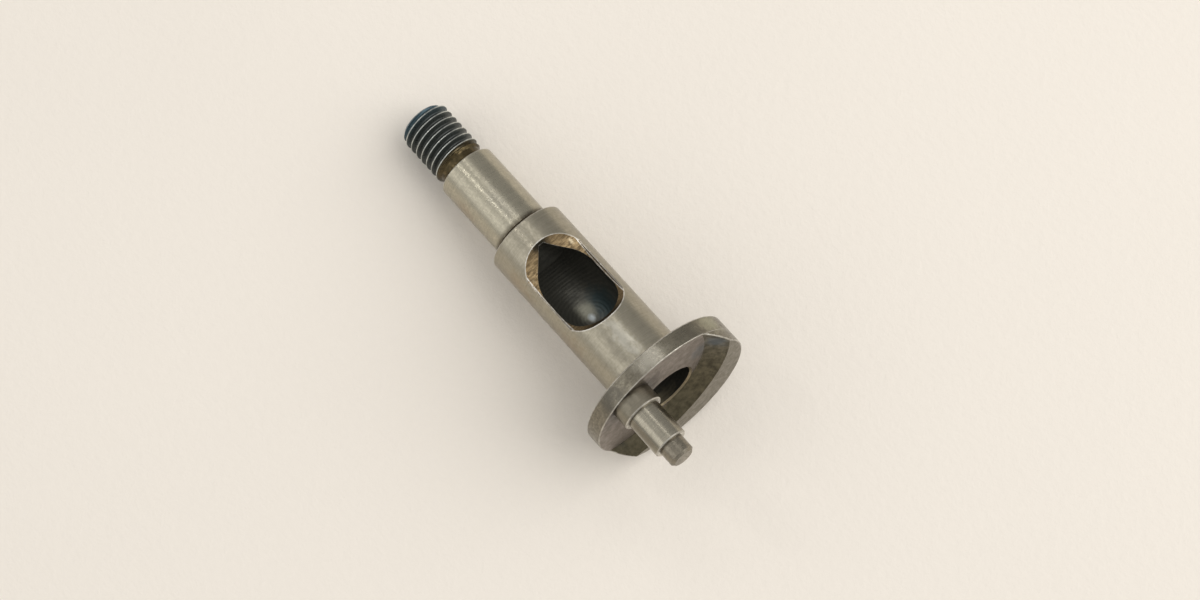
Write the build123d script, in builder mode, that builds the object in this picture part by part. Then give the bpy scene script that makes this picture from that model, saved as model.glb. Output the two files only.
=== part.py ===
from build123d import *
import os
from math import atan2, cos, radians, sin, tan

# Crankshaft of a small two-stroke engine that breathes through its front shaft.
# One piece of hardened steel: flywheel thread, front journal, hollow main journal
# with its intake window, round web with a crescent counterweight, and crankpin.
# Sizes are in millimetres and degrees.

# Flywheel thread, drawn at its crest diameter, and the relief behind it
thread_diameter = 6.2
thread_length = 6.65
thread_lead_in = 0.6
relief_diameter = 5.4
relief_width = 1.5

# Front journal and the grinding undercut at its rear end
front_diameter = 7.0
front_length = 10.7
undercut_width = 0.6
undercut_depth = 0.2

# Main journal: a land, the window and a second land, seen from the web forwards
main_diameter = 9.5
rear_land = 7.1
window_length = 11.85
front_land = 3.15
web_fillet = 0.3

# Gas passage bored from the web through to the window
journal_wall = 1.25
drill_point = 118
mouth_chamfer = 0.2

# Intake window, plunged with a side cutter whose axis lies across the shaft
window_floor = 2.0
window_overcut = 0.12
window_break = 0.1
port_break = 0.15

# Crankpin: thrust boss, bearing pin and the drive stub on its end
throw = 6.9
pin_lead = 38
boss_diameter = 4.9
boss_height = 2.0
pin_diameter = 4.0
pin_length = 4.55
stub_diameter = 3.0
stub_length = 2.05
stub_chamfer = 0.3

# Web, and the recess turned round the crankpin that leaves the counterweight
boss_inset = 0.15
web_floor = 2.08
counterweight_height = 1.62
recess_slope = 38
recess_fillet = 0.5

# Broken edges
edge_break = 0.12

# Radii and lengths that follow
thread_radius = thread_diameter / 2
relief_radius = relief_diameter / 2
front_radius = front_diameter / 2
main_radius = main_diameter / 2
undercut_radius = front_radius - undercut_depth
bore_radius = main_radius - journal_wall
boss_radius = boss_diameter / 2
pin_radius = pin_diameter / 2
stub_radius = stub_diameter / 2
web_radius = throw + boss_radius + boss_inset
web_thickness = web_floor + counterweight_height
recess_radius = throw + bore_radius
land_radius = recess_radius + counterweight_height / tan(radians(recess_slope))
window_width = 2 * (bore_radius + window_overcut)
plunge = main_radius - window_floor
cutter_radius = ((window_length / 2) ** 2 + plunge**2) / (2 * plunge)
drill_tip = bore_radius / tan(radians(drill_point / 2))
main_length = rear_land + window_length + front_land

# Stations along the shaft, from the front face of the web, forwards negative
main_start = -main_length
front_start = main_start - front_length
thread_end = front_start - relief_width
thread_tip = thread_end - thread_length
window_centre = -rear_land - window_length / 2
bore_end = -rear_land - window_length
boss_end = web_floor + boss_height
pin_end = boss_end + pin_length
stub_end = pin_end + stub_length

# The shaft lies on the front rim of its web and on the first crest of its thread.
# Its window is upwards, and the middle of its length is over the origin.
rim_station = edge_break
crest_station = thread_tip + thread_lead_in
lean = atan2(web_radius - thread_radius, rim_station - crest_station)
web_height = web_radius * cos(lean) - rim_station * sin(lean)
tip_reach = thread_tip * cos(lean) - (thread_radius - thread_lead_in) * sin(lean)
stub_rise = throw * cos(radians(pin_lead)) - (stub_radius - stub_chamfer)
stub_reach = stub_end * cos(lean) - stub_rise * sin(lean)
web_place = -(tip_reach + stub_reach) / 2

# The shaft's own frame: local X towards the window, local Z towards the crankpin
shaft = Plane(
    origin=(web_place, 0, web_height),
    x_dir=(-sin(lean), 0, cos(lean)),
    z_dir=(cos(lean), 0, sin(lean)),
)
shaft_axis = Axis(shaft.origin, shaft.z_dir)

# Half sections have local X along the axis and local Y outwards: downwards for the
# blank, so that its seam stays clear of the window, and upwards for the window
blank_section = Plane(shaft.origin, x_dir=shaft.z_dir, z_dir=-shaft.y_dir)
window_section = Plane(shaft.origin, x_dir=shaft.z_dir, z_dir=shaft.y_dir)

# The crankpin's frame is turned from the window by its lead and moved by the throw
pin_direction = shaft.x_dir.rotate(Axis((0, 0, 0), shaft.z_dir), pin_lead)
pin = Plane(shaft.origin + pin_direction * throw, x_dir=pin_direction, z_dir=shaft.z_dir)
pin_axis = Axis(pin.origin, pin.z_dir)
pin_section = Plane(pin.origin, x_dir=pin.z_dir, z_dir=pin.y_dir)


def from_axis(point):
    """Distance of a point from the shaft's axis."""
    local = shaft.to_local_coords(point)
    return Vector(local.X, local.Y, 0).length


def along_axis(point):
    """Station of a point along the shaft."""
    return shaft.to_local_coords(point).Z


def lies_at(edge, radius):
    """True for an edge that lies on a cylinder round the shaft's axis."""
    return all(abs(from_axis(edge @ t) - radius) < 0.001 for t in (0, 0.25, 0.5, 0.75, 1))


def is_level(edge, station):
    """True for an edge that keeps to one station along the shaft."""
    return all(abs(along_axis(edge @ t) - station) < 0.001 for t in (0, 0.25, 0.5))


with BuildPart() as crankshaft:
    # Turned blank: thread, relief, front journal, undercut, main journal and web
    with BuildSketch(blank_section):
        with BuildLine():
            Polyline(
                (thread_tip, 0),
                (thread_tip, thread_radius - thread_lead_in),
                (crest_station, thread_radius),
                (thread_end, thread_radius),
                (thread_end + thread_radius - relief_radius, relief_radius),
                (front_start, relief_radius),
                (front_start, front_radius - edge_break),
                (front_start + edge_break, front_radius),
                (main_start - undercut_width, front_radius),
                (main_start - undercut_width + undercut_depth, undercut_radius),
                (main_start, undercut_radius),
                (main_start, main_radius - edge_break),
                (main_start + edge_break, main_radius),
                (-web_fillet, main_radius),
            )
            RadiusArc(
                (-web_fillet, main_radius),
                (0, main_radius + web_fillet),
                web_fillet,
            )
            Polyline(
                (0, main_radius + web_fillet),
                (0, web_radius - edge_break),
                (edge_break, web_radius),
                (web_thickness, web_radius),
                (web_thickness, 0),
                (thread_tip, 0),
            )
        make_face()
    revolve(axis=shaft_axis)

    # Recess with a conical wall, turned about the crankpin's axis
    with BuildSketch(pin_section):
        with BuildLine():
            FilletPolyline(
                (web_floor, 0),
                (web_floor, recess_radius),
                (web_thickness, land_radius),
                radius=recess_fillet,
            )
            Polyline(
                (web_thickness, land_radius),
                (web_thickness + edge_break, land_radius),
                (web_thickness + edge_break, 0),
                (web_floor, 0),
            )
        make_face()
    revolve(axis=pin_axis, mode=Mode.SUBTRACT)

    # Round the counterweight's land, the wall's ends and the thin rim, all in one run
    web_rims = [
        edge
        for edge in crankshaft.edges()
        if is_level(edge, web_thickness)
        or (lies_at(edge, web_radius) and along_axis(edge @ 0.5) > web_floor - 0.001)
    ]
    fillet(web_rims, radius=edge_break)

    # Crankpin, turned in one piece with the web
    with BuildSketch(pin_section):
        with BuildLine():
            Polyline(
                (web_floor / 2, 0),
                (web_floor / 2, boss_radius),
                (boss_end - edge_break, boss_radius),
                (boss_end, boss_radius - edge_break),
                (boss_end, pin_radius),
                (pin_end - edge_break, pin_radius),
                (pin_end, pin_radius - edge_break),
                (pin_end, stub_radius),
                (stub_end - stub_chamfer, stub_radius),
                (stub_end, stub_radius - stub_chamfer),
                (stub_end, 0),
                (web_floor / 2, 0),
            )
        make_face()
    revolve(axis=pin_axis)

    # Gas passage: drilled from the web to the front end of the window
    with BuildSketch(blank_section):
        with BuildLine():
            Polyline(
                (bore_end - drill_tip, 0),
                (bore_end, bore_radius),
                (web_floor - mouth_chamfer, bore_radius),
                (web_floor, bore_radius + mouth_chamfer),
                (web_thickness, bore_radius + mouth_chamfer),
                (web_thickness, 0),
                (bore_end - drill_tip, 0),
            )
        make_face()
    revolve(axis=shaft_axis, mode=Mode.SUBTRACT)

    # Intake window: one plunge of the side cutter into the top of the main journal
    with BuildSketch(window_section):
        with Locations((window_centre, window_floor + cutter_radius)):
            Circle(cutter_radius)
    extrude(amount=window_width / 2, both=True, mode=Mode.SUBTRACT)
    window_edges = crankshaft.edges(Select.LAST)
    fillet([edge for edge in window_edges if lies_at(edge, main_radius)], radius=window_break)
    chamfer([edge for edge in window_edges if lies_at(edge, bore_radius)], length=port_break)

crankshaft.part.label = "crankshaft"

os.makedirs("parts", exist_ok=True)
export_step(crankshaft.part, "parts/crankshaft.step")
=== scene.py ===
"""Dresses the crankshaft of a small two-stroke model engine that breathes through its shaft.

The shaft is one piece of hardened steel. It lies on a pale sheet, on the rim of its web and
on the first crest of its thread. Lengths are in millimetres in the shaft's own frame, whose
Z runs along the axis towards the crankpin and whose X points at the intake window, and in
metres in the row frame.
"""

import logging
import math
from collections.abc import Callable
from dataclasses import dataclass
from enum import Enum, IntEnum
from typing import ClassVar

import bmesh
import bpy
import numpy as np
from mathutils import Euler, Matrix, Vector


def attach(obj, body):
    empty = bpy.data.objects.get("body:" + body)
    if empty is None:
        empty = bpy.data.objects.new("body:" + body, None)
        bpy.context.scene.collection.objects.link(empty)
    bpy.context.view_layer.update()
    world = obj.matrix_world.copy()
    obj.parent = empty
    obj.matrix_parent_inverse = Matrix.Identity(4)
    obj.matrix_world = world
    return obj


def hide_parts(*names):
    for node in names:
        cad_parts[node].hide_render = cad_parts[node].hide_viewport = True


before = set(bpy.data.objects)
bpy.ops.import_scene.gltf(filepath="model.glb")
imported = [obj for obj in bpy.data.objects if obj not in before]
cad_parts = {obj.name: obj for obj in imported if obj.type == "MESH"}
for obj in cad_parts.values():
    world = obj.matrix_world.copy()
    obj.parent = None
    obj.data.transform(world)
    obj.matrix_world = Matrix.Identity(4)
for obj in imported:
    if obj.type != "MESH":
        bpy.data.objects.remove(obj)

log = logging.getLogger("crankshaft")
Colour = tuple[float, float, float]
Point = tuple[float, float, float]
Source = object  # a node's output socket, or a plain value for the input it feeds

MM = 0.001  # metres in a millimetre
MOTTLE_SPAN = (0.1, 0.9)  # the part of the mottling that roughness follows
TINY = 1e-9  # keeps a length of nothing from dividing


# ---------------------------------------------------------------------------
# Sizes and the shaft's place
# ---------------------------------------------------------------------------


@dataclass(frozen=True)
class ShaftSizes:
    """The shaft's turned and milled sizes, in millimetres, as its drawing gives them.

    The opening's inset and tip are how far its rear end and its front flat lie inside the
    window's ends. Its front walls would meet by opening_meet in front of the window, its arcs
    have the radius opening_blend, and opening_low is the height of its lower end. The plunge's
    aside and station place the rings on the far wall of the gas passage.
    """

    thread_radius: float = 3.1
    thread_length: float = 6.65
    thread_lead_in: float = 0.6
    relief_radius: float = 2.7
    relief_width: float = 1.5
    front_radius: float = 3.5
    front_length: float = 10.7
    undercut_width: float = 0.6
    undercut_depth: float = 0.2
    main_radius: float = 4.75
    rear_land: float = 7.1
    window_length: float = 11.85
    front_land: float = 3.15
    web_fillet: float = 0.3
    bore_radius: float = 3.5
    drill_point: float = 118.0
    mouth_chamfer: float = 0.2
    window_floor: float = 2.0
    window_overcut: float = 0.12
    opening_half_width: float = 3.45
    opening_inset: float = 0.4
    opening_tip: float = 0.25
    opening_meet: float = 0.08
    opening_blend: float = 4.0
    opening_low: float = 0.5
    plunge_aside: float = 0.15
    plunge_station: float = -10.9
    throw: float = 6.9
    pin_lead: float = 38.0
    boss_radius: float = 2.45
    boss_height: float = 2.0
    pin_radius: float = 2.0
    pin_length: float = 4.55
    stub_radius: float = 1.5
    stub_length: float = 2.05
    stub_chamfer: float = 0.3
    boss_inset: float = 0.15
    web_floor: float = 2.08
    counterweight_height: float = 1.62
    recess_slope: float = 38.0
    edge_break: float = 0.12

    @property
    def web_radius(self) -> float:
        """Radius of the web's rim, which just clears the boss."""
        return self.throw + self.boss_radius + self.boss_inset

    @property
    def land(self) -> float:
        """Station of the counterweight's rear face."""
        return self.web_floor + self.counterweight_height

    @property
    def recess_radius(self) -> float:
        """Radius of the recess at its floor, round the crankpin's axis."""
        return self.throw + self.bore_radius

    @property
    def plunge(self) -> float:
        """Depth of the cutter's plunge for the window."""
        return self.main_radius - self.window_floor

    @property
    def cutter_radius(self) -> float:
        """Radius of the cutter that leaves the window's length at that plunge."""
        return ((self.window_length / 2) ** 2 + self.plunge**2) / (2 * self.plunge)

    @property
    def window_centre(self) -> float:
        """Station of the middle of the window."""
        return -self.rear_land - self.window_length / 2

    @property
    def bore_end(self) -> float:
        """Station at which the gas passage's drill point starts."""
        return -self.rear_land - self.window_length

    @property
    def main_start(self) -> float:
        """Station of the main journal's front face."""
        return self.bore_end - self.front_land

    @property
    def front_start(self) -> float:
        """Station of the front journal's front face."""
        return self.main_start - self.front_length

    @property
    def thread_end(self) -> float:
        """Station at which the thread runs out into its relief."""
        return self.front_start - self.relief_width

    @property
    def thread_tip(self) -> float:
        """Station of the shaft's front end."""
        return self.thread_end - self.thread_length

    @property
    def boss_end(self) -> float:
        """Station of the thrust boss's face."""
        return self.web_floor + self.boss_height

    @property
    def pin_end(self) -> float:
        """Station of the crankpin's shoulder."""
        return self.boss_end + self.pin_length

    @property
    def stub_end(self) -> float:
        """Station of the drive stub's end."""
        return self.pin_end + self.stub_length

    @property
    def pin_centre(self) -> Point:
        """Where the crankpin's axis crosses the web, in the shaft's frame."""
        lead = math.radians(self.pin_lead)
        return (self.throw * math.cos(lead), self.throw * math.sin(lead), 0.0)


SIZES = ShaftSizes()


class ShaftFrame:
    """The shaft's frame as it lies, on its web's front rim and its thread's first crest."""

    def __init__(self, sizes: ShaftSizes) -> None:
        """Works out the lean, the height and the place of the web's front face.

        Args:
            sizes: The shaft's sizes.
        """
        crest = sizes.thread_tip + sizes.thread_lead_in
        drop = sizes.web_radius - sizes.thread_radius
        self.lean = math.atan2(drop, sizes.edge_break - crest)
        c, s = math.cos(self.lean), math.sin(self.lean)
        height = sizes.web_radius * c - sizes.edge_break * s
        tip = sizes.thread_tip * c - (sizes.thread_radius - sizes.thread_lead_in) * s
        lead = math.cos(math.radians(sizes.pin_lead))
        rise = sizes.throw * lead - (sizes.stub_radius - sizes.stub_chamfer)
        place = -(tip + sizes.stub_end * c - rise * s) / 2
        self.origin = np.array([place, 0.0, height])
        self.axes = np.array([[-s, 0.0, c], [0.0, -1.0, 0.0], [c, 0.0, s]])

    def inward(self, points: np.ndarray) -> np.ndarray:
        """Row frame in metres to shaft frame in millimetres: axes times (point - origin)."""
        return (points / MM - self.origin) @ self.axes.T

    def outward(self, points: np.ndarray) -> np.ndarray:
        """Shaft frame in millimetres to row frame in metres: origin plus axes weighted."""
        return (points @ self.axes + self.origin) * MM


class Centre(Enum):
    """The axis that a pattern runs round.

    SHAFT is the shaft's own, PIN the crankpin's, CUTTER that of the window's side cutter, and
    PLUNGE runs across the shaft through the rings on the far wall of the gas passage.
    """

    SHAFT = "shaft"
    PIN = "pin"
    CUTTER = "cutter"
    PLUNGE = "plunge"

    @property
    def place(self) -> Point:
        """A point on the axis, in the shaft's frame."""
        if self is Centre.PIN:
            return SIZES.pin_centre
        if self is Centre.CUTTER:
            return (SIZES.window_floor + SIZES.cutter_radius, 0.0, SIZES.window_centre)
        if self is Centre.PLUNGE:
            return (0.0, SIZES.plunge_aside, SIZES.plunge_station)
        return (0.0, 0.0, 0.0)

    @property
    def order(self) -> tuple[int, int, int]:
        """Which of the shaft's axes stand for X, Y and the pattern's axis, Z."""
        return {Centre.CUTTER: (2, 0, 1), Centre.PLUNGE: (1, 2, 0)}.get(self, (0, 1, 2))

    def local(self, point: Point, free: bool = False) -> Point:
        """A point of the shaft's frame, or a free length, in the pattern's frame."""
        moved = point if free else tuple(np.subtract(point, self.place))
        return tuple(float(moved[axis]) for axis in self.order)


class Run(Enum):
    """The way in which cutting marks follow one another, by the seat group's output."""

    ALONG = "Station"
    OUTWARDS = "Radius"


# ---------------------------------------------------------------------------
# Node helpers and shared groups
# ---------------------------------------------------------------------------


@dataclass(frozen=True)
class Grain:
    """The fineness, the detail and the roughness of one smooth noise."""

    scale: float
    detail: float = 3.0
    rough: float = 0.6


class Sketch:
    """Draws shader nodes into a tree, one call for each node."""

    def __init__(self, tree: bpy.types.NodeTree) -> None:
        """Keeps the tree's nodes and links at hand.

        Args:
            tree: The material's or group's node tree.
        """
        self.tree = tree

    def put(
        self, kind: str, inputs: dict[str | int, Source] | None = None, **settings: object
    ) -> bpy.types.Node:
        """Adds a node, sets its own settings and feeds its inputs.

        Args:
            kind: The node's type.
            inputs: What feeds each input, by name or number.
            **settings: The node's own settings.

        Returns:
            The node.
        """
        node = self.tree.nodes.new(kind)
        for name, value in settings.items():
            setattr(node, name, value)
        for name, value in (inputs or {}).items():
            self.feed(node.inputs[name], value)
        return node

    def feed(self, socket: bpy.types.NodeSocket, value: Source) -> None:
        """Links a socket to an input, or sets the input's own value."""
        if isinstance(value, bpy.types.NodeSocket):
            self.tree.links.new(value, socket)
        elif socket.type == "RGBA" and len(value) == 3:
            socket.default_value = (*value, 1.0)
        else:
            socket.default_value = value

    def math(
        self, operation: str, a: Source, b: Source = 0.0, c: Source = 0.0, clamp: bool = False
    ) -> Source:
        """One Math node's result."""
        node = self.put("ShaderNodeMath", {0: a, 1: b, 2: c}, operation=operation, use_clamp=clamp)
        return node.outputs[0]

    def vector(self, operation: str, a: Source, b: Source = (0.0, 0.0, 0.0)) -> Source:
        """One Vector Math node's result, a number for LENGTH."""
        node = self.put("ShaderNodeVectorMath", {0: a, 1: b}, operation=operation)
        return node.outputs["Value" if operation == "LENGTH" else "Vector"]

    def scaled(self, a: Source, by: Source) -> Source:
        """A vector times a number."""
        node = self.put("ShaderNodeVectorMath", {0: a, "Scale": by}, operation="SCALE")
        return node.outputs["Vector"]

    def ease(
        self, value: Source, low: Source, high: Source, start: Source = 0.0, end: Source = 1.0
    ) -> Source:
        """A smooth step of a value from start at low to end at high."""
        inputs = {"Value": value, "From Min": low, "From Max": high, "To Min": start, "To Max": end}
        node = self.put("ShaderNodeMapRange", inputs, interpolation_type="SMOOTHSTEP")
        return node.outputs["Result"]

    def noise(self, at: Source, grain: Grain, scale: Source | None = None) -> Source:
        """Smooth noise about one half, with its own fineness or a socket's."""
        fineness = grain.scale if scale is None else scale
        inputs = {"Vector": at, "Scale": fineness, "Detail": grain.detail, "Roughness": grain.rough}
        return self.put("ShaderNodeTexNoise", inputs).outputs["Fac"]

    def blend(self, share: Source, a: Source, b: Source) -> Source:
        """Colour a where share is 0 and colour b where it is 1."""
        inputs = {"Factor": share, "A": a, "B": b}
        node = self.tree.nodes.new("ShaderNodeMix")
        node.data_type = "RGBA"
        for socket in node.inputs:
            if socket.name in inputs and socket.enabled:
                self.feed(socket, inputs[socket.name])
        return next(s for s in node.outputs if s.enabled)

    def use(self, group: bpy.types.NodeTree, **inputs: Source) -> bpy.types.Node:
        """Places a shared group with its own values; an underscore stands for a space."""
        node = self.tree.nodes.new("ShaderNodeGroup")
        node.node_tree = group
        for name, value in inputs.items():
            self.feed(node.inputs[name.replace("_", " ").title()], value)
        return node


def shared_group(
    name: str,
    inputs: dict[str, Source],
    outputs: dict[str, str],
    draw: Callable[[Sketch, dict[str, Source]], dict[str, Source]],
) -> bpy.types.NodeTree:
    """Makes a shader node group once.

    Args:
        name: The group's name.
        inputs: Each input's resting value, a number, or three for a vector.
        outputs: Each output's kind, Float or Vector.
        draw: Draws the inside and returns what feeds each output.

    Returns:
        The group.
    """
    tree = bpy.data.node_groups.new(name, "ShaderNodeTree")
    for label, value in inputs.items():
        kind = "NodeSocketFloat" if isinstance(value, float) else "NodeSocketVector"
        socket = tree.interface.new_socket(name=label, in_out="INPUT", socket_type=kind)
        socket.default_value = value
    for label, kind in outputs.items():
        tree.interface.new_socket(name=label, in_out="OUTPUT", socket_type=f"NodeSocket{kind}")
    sketch = Sketch(tree)
    inside = sketch.put("NodeGroupInput")
    made = draw(sketch, {label: inside.outputs[label] for label in inputs})
    sketch.put("NodeGroupOutput", made)
    return tree


def new_material(name: str) -> tuple[bpy.types.Material, Sketch, bpy.types.Node]:
    """A new material with its sketch and its shader."""
    material = bpy.data.materials.new(name)
    material.use_nodes = True
    sketch = Sketch(material.node_tree)
    return material, sketch, next(n for n in sketch.tree.nodes if n.type == "BSDF_PRINCIPLED")


def placed(name: str, data: bpy.types.ID) -> bpy.types.Object:
    """A new object in the scene for a mesh, a lamp or a camera."""
    made = bpy.data.objects.new(name, data)
    bpy.context.scene.collection.objects.link(made)
    return made


class Workshop:
    """The shared effects: places on the shaft, cutting marks, mottling, patches and lines at edges."""

    UNEVEN_MARKS = Grain(1.0)
    MOTTLE = Grain(1.0, 4.0, 0.62)
    RAGGED_BORDER = Grain(1.1, 4.0, 0.65)
    GAPS = Grain(2.3)
    GAP_BORDER = (0.35, 0.6)
    DRAWN_OUT = 0.22  # how little a mark changes on its way round the axis
    WAVE_HEIGHT = 0.25
    RAG_REACH = 2.5  # how far a fully ragged border wanders, as a share of the reach
    FULL_PATCH = 0.15  # the share of the reach inside which a patch is full

    def __init__(self, place: ShaftFrame) -> None:
        """Makes every group.

        Args:
            place: The shaft's frame, which the patterns follow.
        """
        self.place = place
        self.seat = shared_group(
            "seat_on_shaft",
            {"Position": (0.0, 0.0, 0.0), "Axis At": (0.0, 0.0, 0.0)},
            {"Turned": "Vector", "Station": "Float", "Radius": "Float"},
            self._seat,
        )
        self.marks = shared_group(
            "cutting_marks",
            {"Turned": (0.0, 0.0, 0.0), "Along": 0.0, "Pitch": 0.1, "Regular": 0.0},
            {"Height": "Float"},
            self._marks,
        )
        self.mottle = shared_group(
            "mottle",
            {"Turned": (0.0, 0.0, 0.0), "Grain": 1.0, "Stretch": (1.0, 1.0, 1.0), "Contrast": 2.0},
            {"Mask": "Float"},
            self._mottle,
        )
        self.patch = shared_group(
            "patch",
            {"Turned": (0.0, 0.0, 0.0), "Centre": (0.0, 0.0, 0.0), "Reach": (1.0, 1.0, 1.0), "Ragged": 0.4},
            {"Mask": "Float"},
            self._patch,
        )
        self.edge_lines = shared_group(
            "line_at_edge",
            {"Turned": (0.0, 0.0, 0.0), "Distance": 1.0, "Width": 0.1, "Broken": 0.5},
            {"Mask": "Float"},
            self._edge_lines,
        )

    @staticmethod
    def _seat(s: Sketch, i: dict[str, Source]) -> dict[str, Source]:
        """Point less the axis's place, its Z, and the length of its X and Y."""
        turned = s.vector("SUBTRACT", i["Position"], i["Axis At"])
        split = s.put("ShaderNodeSeparateXYZ", {0: turned}).outputs
        square_x = s.math("MULTIPLY", split[0], split[0])
        squares = s.math("ADD", square_x, s.math("MULTIPLY", split[1], split[1]))
        return {"Turned": turned, "Station": split[2], "Radius": s.math("SQRT", squares)}

    @staticmethod
    def _marks(s: Sketch, i: dict[str, Source]) -> dict[str, Source]:
        """Noise drawn out round the axis, mixed with an even wave of the same pitch."""
        split = s.put("ShaderNodeSeparateXYZ", {0: s.scaled(i["Turned"], Workshop.DRAWN_OUT)}).outputs
        steps = s.math("DIVIDE", i["Along"], i["Pitch"])
        at = s.put("ShaderNodeCombineXYZ", {0: split[0], 1: split[1], 2: steps}).outputs[0]
        uneven = s.noise(at, Workshop.UNEVEN_MARKS)
        wave = s.math("SINE", s.math("MULTIPLY", s.math("ADD", steps, uneven), math.tau))
        even = s.math("MULTIPLY_ADD", wave, Workshop.WAVE_HEIGHT, 0.5)
        inputs = {"Factor": i["Regular"], "A": uneven, "B": even}
        mixed = s.put("ShaderNodeMix", inputs, data_type="FLOAT")
        return {"Height": mixed.outputs[0]}

    @staticmethod
    def _mottle(s: Sketch, i: dict[str, Source]) -> dict[str, Source]:
        """Noise about one half, drawn out by the stretch and made harder by the contrast."""
        at = s.vector("DIVIDE", i["Turned"], i["Stretch"])
        fine = s.noise(at, Workshop.MOTTLE, s.math("DIVIDE", 1.0, i["Grain"]))
        lift = s.math("MULTIPLY", s.math("SUBTRACT", fine, 0.5), i["Contrast"])
        return {"Mask": s.math("ADD", lift, 0.5, clamp=True)}

    @staticmethod
    def _patch(s: Sketch, i: dict[str, Source]) -> dict[str, Source]:
        """One at the centre, falling to nothing at the reach, with a ragged border."""
        away = s.vector("DIVIDE", s.vector("SUBTRACT", i["Turned"], i["Centre"]), i["Reach"])
        border = s.math("SUBTRACT", s.noise(i["Turned"], Workshop.RAGGED_BORDER), 0.5)
        rag = s.math("MULTIPLY", border, i["Ragged"])
        reach = s.math("MULTIPLY_ADD", rag, Workshop.RAG_REACH, s.vector("LENGTH", away))
        return {"Mask": s.ease(reach, 1.0, Workshop.FULL_PATCH)}

    @staticmethod
    def _edge_lines(s: Sketch, i: dict[str, Source]) -> dict[str, Source]:
        """One on the edge, falling to nothing at the width, with gaps where it is broken."""
        near = s.ease(s.math("ABSOLUTE", i["Distance"]), i["Width"], 0.0)
        gaps = s.ease(s.noise(i["Turned"], Workshop.GAPS), *Workshop.GAP_BORDER)
        kept = s.math("SUBTRACT", 1.0, s.math("MULTIPLY", i["Broken"], s.math("SUBTRACT", 1.0, gaps)))
        return {"Mask": s.math("MULTIPLY", near, kept)}

    def seated(self, s: Sketch, centre: Centre) -> bpy.types.Node:
        """Object coordinates in millimetres, about one of the shaft's axes.

        Args:
            s: The material's sketch.
            centre: The axis that the pattern runs round.

        Returns:
            The placed group, with Turned, Station and Radius.
        """
        read = s.put("ShaderNodeTexCoord").outputs["Object"]
        axes = self.place.axes[list(centre.order)]
        place = {
            "Vector": read,
            "Location": tuple(self.place.origin * MM),
            "Rotation": tuple(Matrix(axes.T.tolist()).to_euler("XYZ")),
            "Scale": (MM, MM, MM),
        }
        mapped = s.put("ShaderNodeMapping", place, vector_type="TEXTURE").outputs[0]
        return s.use(self.seat, position=mapped, axis_at=centre.local(centre.place, free=True))


# ---------------------------------------------------------------------------
# Finishes
# ---------------------------------------------------------------------------


@dataclass(frozen=True)
class Patch:
    """A patch of colour at a place on the shaft: stains, patches rubbed bright, painted shade and painted
    highlights are all made with it.

    The reach is how far it spreads along each of the shaft's axes, in millimetres.
    """

    centre: Point
    reach: Point
    colour: Colour
    strength: float
    ragged: float = 0.4


@dataclass(frozen=True)
class EdgeLine:
    """A line at an edge, told by the station or the radius at which it runs.

    A bright one is painted highlight where the edge would catch the light, on rubbed, bare steel; a dark
    brown one is painted shade where two parts meet.
    """

    by: Run
    at: float
    width: float = 0.1
    strength: float = 0.8
    dark_brown: bool = False

    @property
    def broken(self) -> float:
        """How far the line breaks up: a dark line of painted shade runs on, a bright one comes and goes."""
        return 0.2 if self.dark_brown else 0.6


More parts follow.
